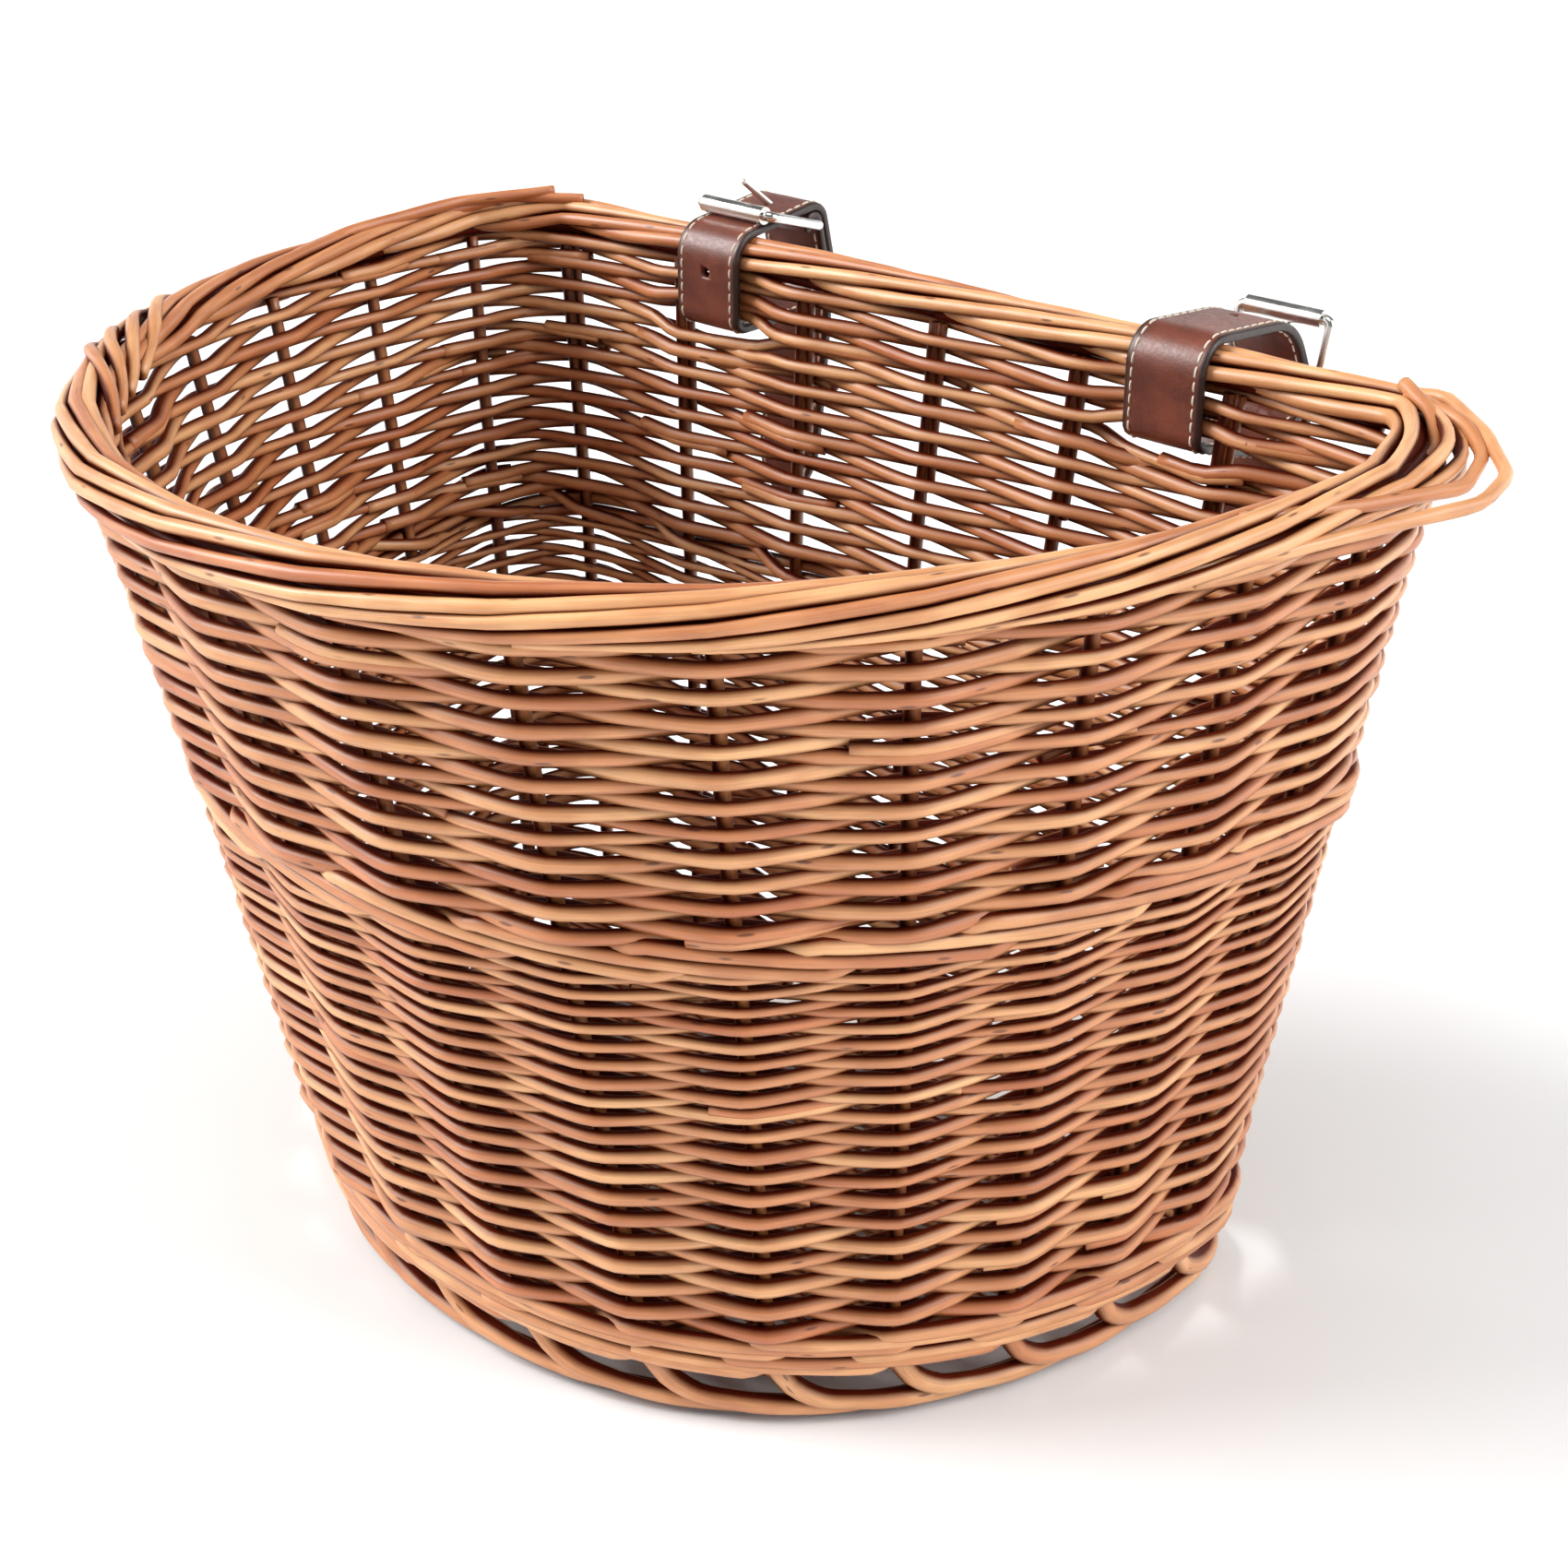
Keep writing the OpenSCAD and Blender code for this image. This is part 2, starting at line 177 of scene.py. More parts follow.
# ---- Willow rods ----

X_AXIS, Y_AXIS, Z_AXIS = np.eye(3)

# Swellings along a rod: a wave's length over 2 pi, its height as a share of the radius, its phase
LUMPS = ((9 * MM, 0.045, 1), (3.7 * MM, 0.03, 2))
BEHIND_SHADE = 0.6  # how much painted shade a rod gets on the side where it passes behind others
ROLL_OPEN = (0.12, 1.25)  # how open to light a rod of the roll counts as across, and how much more facing outwards; less open sides get painted shade
# A rod that stands clear of the others counts as this open all round, too open for any painted shade
CLEAR_OPEN = 0.85


def rod_faces(n, sides, first):
    """Faces of a rod of n rings, whose points start at number first and end with its two tips."""
    i, j = np.meshgrid(np.arange(n - 1), np.arange(sides), indexing="ij")
    k = (j + 1) % sides
    here, following = i * sides, (i + 1) * sides
    skin = np.stack([here + j, following + j, following + k, here + k], axis=2)
    faces = (skin.reshape(-1, 4) + first).tolist()
    start_tip, end_tip, last = first + n * sides, first + n * sides + 1, first + (n - 1) * sides
    for j in range(sides):
        k = (j + 1) % sides
        faces.append([start_tip, first + j, first + k])
        faces.append([end_tip, last + k, last + j])
    return faces


class Rods:
    """Round rods in one mesh. Its points keep their places in straight rods, for the grain."""

    def __init__(self):
        self.points, self.faces, self.grain, self.tint, self.crevice = [], [], [], [], []
        self.count = 0

    def add(self, line, radius, sides=8, aim=Z_AXIS, clear=False, core=None, sway=0):
        """One rod along the points of line, thick as radius says, a number or one for each point.

        Painted shade darkens its upper and lower sides, or those that don't face away from a core
        line, and the side that lies behind others: sway is 1 where the rod is outside them, -1 inside.
        A rod that stands clear of the others has none of this. The aim is an axis that it never
        runs along, which keeps its cross-section from twisting.
        """
        line = np.asarray(line, float)
        n = len(line)
        ahead = unit(np.gradient(line, axis=0))
        side = unit(np.cross(ahead, aim))
        up = np.cross(side, ahead)
        run = run_along(line)
        seed = dice.uniform(0, 50)
        lumps = 1 + sum(size * np.sin(run / long + phase * seed) for long, size, phase in LUMPS)
        r = (radius * lumps)[:, None]
        turn = np.radians(360 * np.arange(sides) / sides)
        ring_x, ring_y = r * np.cos(turn), r * np.sin(turn)
        spokes = ring_x[..., None] * side[:, None] + ring_y[..., None] * up[:, None]
        ring = line[:, None] + spokes
        self.points.append(np.concatenate([ring.reshape(-1, 3), line[[0, -1]]]))
        if clear:
            open_side = np.full((n, sides), CLEAR_OPEN)
        elif core is None:
            sway = np.broadcast_to(np.asarray(sway, float), (n,))[:, None]
            behind = np.clip(np.cos(turn) * sway, 0, 1)
            open_side = np.cos(turn) ** 2 - BEHIND_SHADE * behind
        else:
            away = unit(line - core, 0.1 * MM)
            outwards = (spokes * away[:, None]).sum(axis=2) / r
            open_side = ROLL_OPEN[0] + ROLL_OPEN[1] * outwards
        # The less open a side is, the more painted shade its colour gets
        hidden = np.clip(1 - open_side, 0, 1)
        self.crevice.append(np.concatenate([hidden.ravel(), [1, 1]]))
        along = np.broadcast_to((run + seed)[:, None], ring_x.shape)
        grain = np.stack([along, ring_x, ring_y], axis=2).reshape(-1, 3)
        self.grain.append(np.concatenate([grain, [[seed, 0, 0], [run[-1] + seed, 0, 0]]]))
        self.tint.append(np.full(n * sides + 2, dice.random()))
        self.faces += rod_faces(n, sides, self.count)
        self.count += n * sides + 2

    def build(self, name, material, *nodes):
        """The mesh of all rods, riding on the basket in place of those CAD nodes."""
        made = new_piece(name, np.concatenate(self.points), self.faces, material)
        store(made, "grain", "FLOAT_VECTOR", "vector", np.concatenate(self.grain))
        store(made, "tint", "FLOAT", "value", np.concatenate(self.tint))
        # The painted shade of each point, for the material to multiply into the colour
        store(made, "crevice", "FLOAT", "value", np.concatenate(self.crevice))
        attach(made, "basket")
        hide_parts(*nodes)


def new_piece(name, points, faces, material):
    """A smooth mesh object of one material."""
    mesh = bpy.data.meshes.new(name)
    mesh.from_pydata([tuple(p) for p in points], [], faces)
    mesh.polygons.foreach_set("use_smooth", [True] * len(mesh.polygons))
    mesh.materials.append(material)
    mesh.update()
    made = bpy.data.objects.new(name, mesh)
    bpy.context.scene.collection.objects.link(made)
    return made


def store(piece, name, kind, field, values):
    """Keeps a value for each point of a piece, for its material to read."""
    attribute = piece.data.attributes.new(name, kind, "POINT")
    attribute.data.foreach_set(field, np.asarray(values, np.float32).ravel())


WAVES = ((0.5, 2, 1.0), (0.3, 5, 2.3), (0.2, 9, 3.1))  # share of the size, waves in a round, phase


def wobble(q, size, seed):
    """A smooth wander of a rod up and down, the same each time round the basket."""
    turn = 2 * math.pi * q / STAKES
    return size * sum(share * np.sin(count * turn + shift * seed) for share, count, shift in WAVES)


def taper(n, butt, tip):
    """Radii of n points of a rod, from its thick end to its thin one."""
    return np.linspace(butt, tip, n)


STEPS = 12  # points of a rod for each gap between two stakes
WEAVE_OUT = 0.5 * MM  # the stakes stand this far outside the wall line
STAKE_R = 2.0 * MM
BEND = 0.985  # nearer 1, a rod bends more sharply round a stake


def zigzag(q, parity):
    """From -1, inside a stake, to 1, outside it, in nearly straight runs between the stakes."""
    return np.arcsin(BEND * np.cos(np.pi * (q + parity))) / math.asin(BEND)


# The straps pass through the wall between two rows, and lie against its inside above that
SLOT_Z = left_bar[1] - LEFT_BAR_R - STRAP_T + 0.2 * MM
SLOT_FADE = 14 * MM  # the rows come back to their places this far beside a strap
SLOT_HALF = 3.4 * MM  # how far the rows just above and below a strap are pushed apart
SLOT_REACH = 7 * MM  # how fast this fades in the rows further up and down


def near_strap(q, z):
    """How close points of the wall are to a strap's slot, from 0 to 1."""
    here = wall(q, z, 0)
    near = np.zeros(len(here))
    for x in strap_x:
        gap = np.abs(here[:, 0] - x) - STRAP_W / 2
        near = np.maximum(near, np.clip(1 - gap / SLOT_FADE, 0, 1))
    near[here[:, 1] < 0] = 0
    return near * near * (3 - 2 * near)


BUTT_SIZE = (1.04, 1.16)  # radii of a rod's two ends, as shares of its row's
TIP_SIZE = (0.86, 0.97)
LEAD = (0.25, 0.45)  # a rod starts this far before its first stake
OVERLAP = 1.6  # a tip lies beside the next rod's butt along this many stakes
OVERLAP_APART = 1.1  # the tip moves up or down by this many radii there
ROD_WANDER = 0.3 * MM  # a rod's own wander, besides that of its row
ROW_SIZE = (0.92, 1.08)


def weave_row(rods, z, r, parity, wander):
    """One row of plain weave, made of two rods. Each one's tip lies over the butt of the next."""
    first = 2 * dice.randrange(STAKES // 2) + (1 - parity)
    half = STAKES // 2 + dice.choice((-1, 1))
    for start, length in ((first, half), (first + half, STAKES - half)):
        butt, tip = r * dice.uniform(*BUTT_SIZE), r * dice.uniform(*TIP_SIZE)
        lead = dice.uniform(*LEAD)
        last = start + length + lead + dice.choice((0, 0, 1))
        q = np.arange(start - lead, last, 1 / STEPS)
        height = z + wobble(q, wander, z * 40) + wobble(q, ROD_WANDER, dice.uniform(0, 9))
        over = np.clip(1 - (last - q) / OVERLAP, 0, 1)
        height = height + over * dice.choice((-1, 1)) * OVERLAP_APART * r
        sway = zigzag(q, parity)
        reach = (STAKE_R + r + 0.1 * MM) * sway
        part = near_strap(q, height)
        above = height > SLOT_Z
        apart = np.exp(-np.abs(height - SLOT_Z) / SLOT_REACH) * part * SLOT_HALF
        height = height + np.where(above, apart, -apart)
        pinch = np.where(above, part, 0)
        out = WEAVE_OUT + 0.5 * MM * pinch + reach * (1 - 0.5 * pinch)
        rods.add(wall(q, height, out), taper(len(q), butt, tip), sway=sway)


def weave_band(name, node, material, heights, radii, wander):
    """Rows of weave. They wander together in the middle of the band, and less at its edges."""
    rods = Rods()
    for k, (z, r) in enumerate(zip(heights, radii)):
        middle = math.sin(math.pi * (k + 0.5) / len(heights))
        weave_row(rods, z, r * dice.uniform(*ROW_SIZE), k % 2, wander * middle)
    rods.build(name, material, node)


WALE_SUNK = 1.5 * MM  # a wale's rods are pulled this much tighter than the middle of the weave
WALE_OVER = 1.4  # each of its rods runs this many stakes past its own start


def wale(rods, z, height, r, start):
    """Three rods that each pass in front of two stakes, rising as they go, and behind one."""
    for j in range(3):
        q = np.arange(0, STAKES + WALE_OVER, 1 / STEPS)
        phase = q % 3
        inside = np.clip(np.minimum(phase, 3 - phase) / 0.5, 0, 1)
        inside = inside * inside * (3 - 2 * inside)
        reach = (STAKE_R + r) * (2 * inside - 1) - WALE_SUNK * inside
        rise = np.interp(phase, (0, 0.5, 2.5, 3), (0, -1, 1, 0))
        lift = (height / 2 - r) * rise
        line = wall(q + start + j, z + lift + wobble(q, 0.4 * MM, j), WEAVE_OUT + reach)
        rods.add(line, taper(len(q), r * 1.08, r * 0.92), sides=10)


STAKE_PARTS = 60
STAKE_SIZE = (1.08, 0.95)  # radii of its lower and upper ends, as shares of STAKE_R
STAKE_SWAY = 0.5 * MM
STAKE_WAVE = 31 * MM  # the length of its wave, over 2 pi
STAKE_FOOT = 9 * MM  # a stake's rod starts this far above its node, behind the bottom wale
STAKE_TOP = 4 * MM  # and ends this far inside the rim
TWIN_LONG = 42 * MM  # the second rod beside the top of a back stake
TWIN_BESIDE = 3.2 * MM
TWIN_R = 1.4 * MM


def stake_rods(name, node, material, numbers):
    """Stakes from behind the bottom wale up into the rim, doubled at the top of the back."""
    rods = Rods()
    low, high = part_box(node)
    for number in numbers:
        z = np.linspace(low.z + STAKE_FOOT, high.z + STAKE_TOP, STAKE_PARTS)
        sway = STAKE_SWAY * np.sin(z / STAKE_WAVE + number)
        thick = taper(STAKE_PARTS, *(STAKE_R * share for share in STAKE_SIZE))
        rods.add(wall(number + sway / side_pitch, z, WEAVE_OUT), thick, aim=Y_AXIS)
        if number <= BACK_EACH:
            top = z[z > high.z - TWIN_LONG]
            rods.add(wall(number + TWIN_BESIDE / BACK_PITCH, top, WEAVE_OUT), TWIN_R, aim=Y_AXIS)
    rods.build(name, material, node)


def eased(keys, at):
    """Smooth values at places, through keys of (place, value, value ...)."""
    keys = np.asarray(keys, float)
    tangent = np.gradient(keys[:, 1:], keys[:, 0], axis=0)
    i = np.clip(np.searchsorted(keys[:, 0], at, side="right") - 1, 0, len(keys) - 2)
    gap = keys[i + 1, 0] - keys[i, 0]
    t = ((at - keys[i, 0]) / gap)[:, None]
    gap = gap[:, None]
    a, b = keys[i, 1:], keys[i + 1, 1:]
    return ((2 * t**3 - 3 * t**2 + 1) * a + (t**3 - 2 * t**2 + t) * gap * tangent[i]
            + (3 * t**2 - 2 * t**3) * b + (t**3 - t**2) * gap * tangent[i + 1])


BORDER_LONG = 7.0  # how many stakes a rod of the rim runs past
BORDER_ROD = 1.9 * MM
BORDER_SIZE = (1.1, 0.75)  # radii of a rod's two ends, as shares of BORDER_ROD
BORDER_STARTS = 200  # degrees round the roll: 0 is outside, 90 is the top and 180 is inside
BORDER_TURNS = 280
BURIED = 0.9  # a rod comes out of the middle of the roll within this many stakes
RIM_KINK = 0.5  # 0 follows the curve of the rim, and 1 goes straight from stake to stake
CORE_RODS = 3
CORE_OUT = 2 * MM  # they wind round the middle of the roll at this distance
CORE_TURN = 40  # degrees for each stake

# Where the border's last rods are plaited over its first ones, as stake numbers
PLAIT_STARTS = (12.9, 13.25, 13.6, 13.95)
PLAIT_LONG = 1.9  # stakes that such a rod runs past, as it winds from one angle to the other
PLAIT_FROM = 185
PLAIT_TURNS = 230
SHORT_ROD = (2.0 * MM, 1.6 * MM)  # radii of the two ends of such a rod

# Places where the roll opens: the stake number, how wide the stretch is and how far rods stand out
LOOSE_SPOTS = ((3.55, 0.38, 9 * MM), (14.6, 0.5, 4.5 * MM), (18.4, 0.3, 4 * MM))

# Rods that stand clear of the rim, as (x, y, z) in millimetres: kinked loops round the right back
# corner, and ends that cross at the left back corner
LOOSE_RODS = (
    ((128, 104, 247), (152, 111, 248), (172, 94, 247), (187, 77, 245), (189, 61, 243),
     (178, 34, 242), (168, 6, 241), (158, -20, 242)),
    ((146, 101, 250), (165, 96, 248), (176, 86, 245), (181, 68, 243), (173, 34, 246),
     (162, 2, 249)),
    ((144, 103, 252), (157, 95, 249), (166, 82, 245), (167, 62, 243), (164, 20, 240)),
    ((-162, -10, 246), (-168, 30, 250), (-165, 72, 252), (-150, 99, 253)),
    ((-168, 10, 244), (-171, 55, 248), (-161, 88, 251), (-141, 103, 251)))
LOOSE_PARTS = 40
LOOSE_ROD = (1.9 * MM, 1.6 * MM)
CORNER_SOFT = 3.5 * MM  # their corners are rounded along this much each way


def loosened(q, out):
    """The same distances out, further from the middle of the roll where it is loose."""
    for number, stretch, far in LOOSE_SPOTS:
        spread = far * np.exp(-(((q - number) / stretch) ** 2))
        away = np.clip((out - BORDER_SHIFT) / BORDER_R, -0.3, 1)
        out = out + spread * away
    return out


def rolled_rods(rods, ring):
    """Each stake's rod leaves the roll's middle, rises inside it and winds over to its outside."""
    for number in range(STAKES):
        length = BORDER_LONG + dice.uniform(-0.5, 0.5)
        q = np.arange(0, length, 1 / STEPS)
        turn = np.radians(BORDER_STARTS - BORDER_TURNS * (q / BORDER_LONG) + dice.uniform(-7, 7))
        buried = np.clip(1 - q / BURIED, 0, 1) ** 2
        reach = (ring + wobble(q, 0.5 * MM, number)) * (1 - buried)
        along = number + q
        out = loosened(along % STAKES, BORDER_SHIFT + reach * np.cos(turn))
        core = wall_flat(along, BORDER_Z, BORDER_SHIFT)
        line = wall_flat(along, BORDER_Z + reach * np.sin(turn), out)
        thick = taper(len(q), *(BORDER_ROD * share for share in BORDER_SIZE))
        rods.add(line, thick, sides=10, core=core)


def core_rods(rods):
    """The rods in the middle of the roll."""
    for k in range(CORE_RODS):
        q = np.arange(0, STAKES + 0.01, 1 / STEPS)
        turn = np.radians(360 / CORE_RODS * k + CORE_TURN * q)
        z, out = BORDER_Z + CORE_OUT * np.sin(turn), BORDER_SHIFT + CORE_OUT * np.cos(turn)
        line = wall_flat(q, z, out)
        rods.add(line, BORDER_ROD, core=line)


def plaited_rods(rods, ring):
    """Short rods that cross over the others on the left, a little outside them."""
    for start in PLAIT_STARTS:
        q = np.arange(0, PLAIT_LONG, 1 / STEPS)
        turn = np.radians(PLAIT_FROM - PLAIT_TURNS * q / PLAIT_LONG)
        out = BORDER_SHIFT + (ring + 2 * MM) * np.cos(turn)
        z = BORDER_Z + (ring + 1.6 * MM) * np.sin(turn)
        core = wall_flat(q + start, BORDER_Z, BORDER_SHIFT)
        line = wall_flat(q + start, z, out)
        rods.add(line, taper(len(q), *SHORT_ROD), sides=10, core=core)


def rim_rods(material):
    """The rolled rim, with the rods that have come loose from it."""
    rods = Rods()
    ring = BORDER_R - BORDER_ROD
    rolled_rods(rods, ring)
    core_rods(rods)
    plaited_rods(rods, ring)
    for keys in LOOSE_RODS:
        thick = taper(LOOSE_PARTS, *LOOSE_ROD)
        rods.add(kinked(np.array(keys) * MM), thick, sides=10, clear=True)
    rods.build("rim_border_rods", material, "rim_border")


def kinked(keys):
    """Evenly spaced points along straight lines through keys, with each corner a little rounded."""
    run = run_along(keys)
    at = np.linspace(0, run[-1], LOOSE_PARTS)
    near = np.linspace(-CORNER_SOFT, CORNER_SOFT, 7)
    samples = np.clip(at[:, None] + near, 0, run[-1])
    return np.stack([np.interp(samples, run, keys[:, k]).mean(axis=1) for k in range(3)], axis=1)


def wall_flat(q, z, out):
    """Points beside the wall line of the rim, which run a little straight from stake to stake."""
    level = np.full(len(q), RIM_LEVEL)
    line = wall(q, level, out)
    before, after = wall(np.floor(q), level, out), wall(np.floor(q) + 1, level, out)
    share = (q - np.floor(q))[:, None]
    line = line * (1 - RIM_KINK) + (before * (1 - share) + after * share) * RIM_KINK
    line[:, 2] = z
    return line


FOOT_ROD = 2.9 * MM
FOOT_LONG = 2.5  # how many stakes a rod of the foot runs past

# Its course: the stakes run past, then mm outside the wall line and mm above the ground
FOOT_COURSE = (
    (0, 0.0, 22), (0.13, 0.8, 14.0), (0.32, 1.6, 9.0), (0.7, 2.0, 6.4), (1.2, 1.4, 4.8),
    (1.8, -0.4, 3.6), (FOOT_LONG, -1.8, 3.2))


def foot_rods(material):
    """Each rod leaves the wall at a stake, bends down and runs along the ground past two more."""
    rods = Rods()
    for number in range(STAKES):
        q = np.arange(0, FOOT_LONG, 1 / STEPS)
        path = eased(FOOT_COURSE, q) * MM
        line = wall(number - q, path[:, 1], path[:, 0])
        rods.add(line, taper(len(q), FOOT_ROD * 1.03, FOOT_ROD * 0.8), sides=10)
    rods.build("foot_border_rods", material, "foot_border")


BASE_STICKS = 7
BASE_IN = 5.4 * MM  # the base ends this far inside the wall line
STICK_PARTS = 40
STICK_R = 1.7 * MM
ROW_PITCH = 3.6 * MM
ROW_BUTT, ROW_TIP = 1.65 * MM, 1.4 * MM
ROW_RISE = 2.9 * MM  # how far a row goes over and under the sticks
ROW_FLAT = 20 * MM  # it lies flatter along this much at each end
FIRST_ROW = 2.5 * MM  # the first and last rows are this far inside the base's box, or a little more
LAST_ROW = 1.5 * MM
STICKS_WIDER = 1.4 * MM  # the sticks are spread over this much more than the wall line's width
NEARBY = 4 * MM  # the edge of the base is looked for this near a row or a stick
END_GAP = 2 * MM  # which ends this far before it


def base_rods(material):
    """The base: rods from side to side, over and under its sticks."""
    low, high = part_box("base_weave")
    mid = (low.z + high.z) / 2
    sticks, rods = Rods(), Rods()
    edge = wall_at(np.linspace(0, ROUND, 10 * ROUND + 1), mid, -BASE_IN)
    pitch = 2 * (foot_high.x - FOOT_OUT + STICKS_WIDER) / (BASE_STICKS + 1)
    for i in range(BASE_STICKS):
        x = (i - (BASE_STICKS - 1) / 2) * pitch
        near = edge[np.abs(edge[:, 0] - x) < NEARBY]
        y = np.linspace(near[:, 1].min() + END_GAP, near[:, 1].max() - END_GAP, STICK_PARTS)
        sticks.add(np.stack([np.full_like(y, x), y, np.full_like(y, mid)], axis=1), STICK_R)
    for k in range(int((high.y - low.y - FIRST_ROW - LAST_ROW) / ROW_PITCH)):
        y = high.y - FIRST_ROW - k * ROW_PITCH
        near = edge[np.abs(edge[:, 1] - y) < NEARBY]
        reach = np.abs(near[:, 0]).max() - END_GAP
        x = np.linspace(-reach, reach, max(12, int(2 * reach / (3.5 * MM))))
        fade = np.clip((reach - np.abs(x)) / ROW_FLAT, 0, 1)
        z = mid + zigzag(x / pitch, k % 2) * ROW_RISE * fade
        path = np.stack([x, y + wobble(x * 100, 0.4 * MM, k), z], axis=1)
        rods.add(path, taper(len(x), ROW_BUTT, ROW_TIP))
    sticks.build("base_stick_rods", material, "base_sticks")
    rods.build("base_weave_rods", material, "base_weave")


# ---- Materials ----

def new_material(name):
    """A new material, its nodes, its links and its shader."""
    made = bpy.data.materials.new(name)
    made.use_nodes = True
    nodes = made.node_tree.nodes
    return made, nodes, made.node_tree.links, nodes["Principled BSDF"]


def add_node(nodes, kind, **values):
    """A node whose settings and inputs have the values given by name."""
    made = nodes.new(kind)
    for key, value in values.items():
        if hasattr(made, key):
            setattr(made, key, value)
        else:
            made.inputs[key].default_value = value
    return made


def ramp(nodes, links, source, low, high):
    """The colour for a value, running between two stops of (value, colour)."""
    made = nodes.new("ShaderNodeValToRGB")
    for element, (place, colour) in zip(made.color_ramp.elements, (low, high)):
        element.position = place
        element.color = (*colour, 1)
    links.new(source, made.inputs["Fac"])
    return made.outputs["Color"]


def mixed(nodes, links, a, b, factor, kind="MIX"):
    """Colour b over colour a, each a socket or a value."""
    made = nodes.new("ShaderNodeMix")
    made.data_type = "RGBA"
    made.blend_type = kind
    for key, value in (("Factor", factor), ("A", a), ("B", b)):
        if hasattr(value, "links"):
            links.new(value, made.inputs[key])
        else:
            made.inputs[key].default_value = value
    return made.outputs["Result"]


def grey(value):
    return (value, value, value)


def bumps(nodes, links, skin, height, strength, deep):
    """Raises a shader's surface where height is high."""
    made = add_node(nodes, "ShaderNodeBump", Strength=strength, Distance=deep)
    links.new(height, made.inputs["Height"])
    links.new(made.outputs["Normal"], skin.inputs["Normal"])


PAINTED_SHADE_COLOUR = (0.14, 0.028, 0.009)  # painted shade: the dark red-brown that rods turn where they face their neighbours or pass behind others


def scaled(nodes, links, vector, scale):
    """A rod's own coordinates, stretched: along the rod first, then across it."""
    made = add_node(nodes, "ShaderNodeMapping", Scale=scale)
    links.new(vector, made.inputs["Vector"])
    return made.outputs["Vector"]


STAIN = (0.62, 0.40, 0.27)
BUD = (0.16, 0.07, 0.03)


def willow_material(name, pale, deep):
    """Peeled willow: a honey skin with fine grain along each rod, faint bark stains, buds and painted shade."""
    made, nodes, links, skin = new_material(name)
    grain = add_node(nodes, "ShaderNodeAttribute", attribute_name="grain").outputs["Vector"]
    tint = add_node(nodes, "ShaderNodeAttribute", attribute_name="tint").outputs["Fac"]
    crevice = add_node(nodes, "ShaderNodeAttribute", attribute_name="crevice").outputs["Fac"]
    fibres = add_node(nodes, "ShaderNodeTexNoise", Scale=1.0, Detail=4.0, Roughness=0.6)
    links.new(scaled(nodes, links, grain, (60, 2200, 2200)), fibres.inputs["Vector"])
    blotches = add_node(nodes, "ShaderNodeTexNoise", Scale=1.0, Detail=2.0)
    links.new(scaled(nodes, links, grain, (45, 160, 160)), blotches.inputs["Vector"])
    buds = add_node(nodes, "ShaderNodeTexVoronoi", Scale=1.0)
    links.new(scaled(nodes, links, grain, (55, 260, 260)), buds.inputs["Vector"])
    fibre = fibres.outputs["Fac"]
    colour = ramp(nodes, links, tint, (0.0, deep), (1.0, pale))
    streaks = ramp(nodes, links, fibre, (0.3, grey(0.66)), (0.62, grey(1.0)))
    colour = mixed(nodes, links, colour, streaks, 0.55, "MULTIPLY")
    stains = ramp(nodes, links, blotches.outputs["Fac"], (0.42, STAIN), (0.6, grey(1.0)))
    colour = mixed(nodes, links, colour, stains, 0.5, "MULTIPLY")
    spots = ramp(nodes, links, buds.outputs["Distance"], (0.07, BUD), (0.13, grey(1.0)))
    colour = mixed(nodes, links, colour, spots, 0.75, "MULTIPLY")
    # Painted shade: rods turn dark red-brown where their shade mask is high, and lose coat and specular there
    shade_tint = ramp(nodes, links, crevice, (0.2, grey(1.0)), (0.85, PAINTED_SHADE_COLOUR))
    colour = mixed(nodes, links, colour, shade_tint, 1.0, "MULTIPLY")
    links.new(colour, skin.inputs["Base Color"])
    rough = ramp(nodes, links, fibre, (0.3, grey(0.55)), (0.7, grey(0.34)))
    links.new(rough, skin.inputs["Roughness"])
    bumps(nodes, links, skin, fibre, 0.35, 0.3 * MM)
    gloss = ramp(nodes, links, crevice, (0.2, grey(0.5)), (0.8, grey(0.08)))
    links.new(gloss, skin.inputs["Coat Weight"])
    links.new(gloss, skin.inputs["Specular IOR Level"])
    skin.inputs["Coat Roughness"].default_value = 0.38
    return made


LEATHER_EDGE = (0.025, 0.012, 0.009, 1)


def leather_material(name, body, dark):
    """Waxed leather: a red-brown face with fine pores and creases, and dark burnished edges."""
    made, nodes, links, skin = new_material(name)
    place = add_node(nodes, "ShaderNodeTexCoord").outputs["Object"]
    edge = add_node(nodes, "ShaderNodeAttribute", attribute_name="edge").outputs["Fac"]
    pores = add_node(nodes, "ShaderNodeTexVoronoi", Scale=1500.0)
    clouds = add_node(nodes, "ShaderNodeTexNoise", Scale=90.0, Detail=5.0, Roughness=0.6)
    creases = add_node(nodes, "ShaderNodeTexNoise", Scale=700.0, Detail=3.0)
    for texture in (pores, clouds, creases):
        links.new(place, texture.inputs["Vector"])
    pore, crease = pores.outputs["Distance"], creases.outputs["Fac"]
    colour = ramp(nodes, links, clouds.outputs["Fac"], (0.35, dark), (0.68, body))
    speckle = ramp(nodes, links, pore, (0.1, grey(0.75)), (0.4, grey(1.0)))
    colour = mixed(nodes, links, colour, speckle, 0.5, "MULTIPLY")
    colour = mixed(nodes, links, colour, LEATHER_EDGE, edge)
    links.new(colour, skin.inputs["Base Color"])
    rough = ramp(nodes, links, crease, (0.3, grey(0.5)), (0.7, grey(0.34)))
    links.new(rough, skin.inputs["Roughness"])
    bumps(nodes, links, skin, mixed(nodes, links, pore, crease, 0.5), 0.3, 0.2 * MM)
    skin.inputs["Coat Weight"].default_value = 0.15
    skin.inputs["Coat Roughness"].default_value = 0.3
    return made


DULL_NICKEL = (0.62, 0.59, 0.55)
BRIGHT_NICKEL = (0.84, 0.83, 0.81)


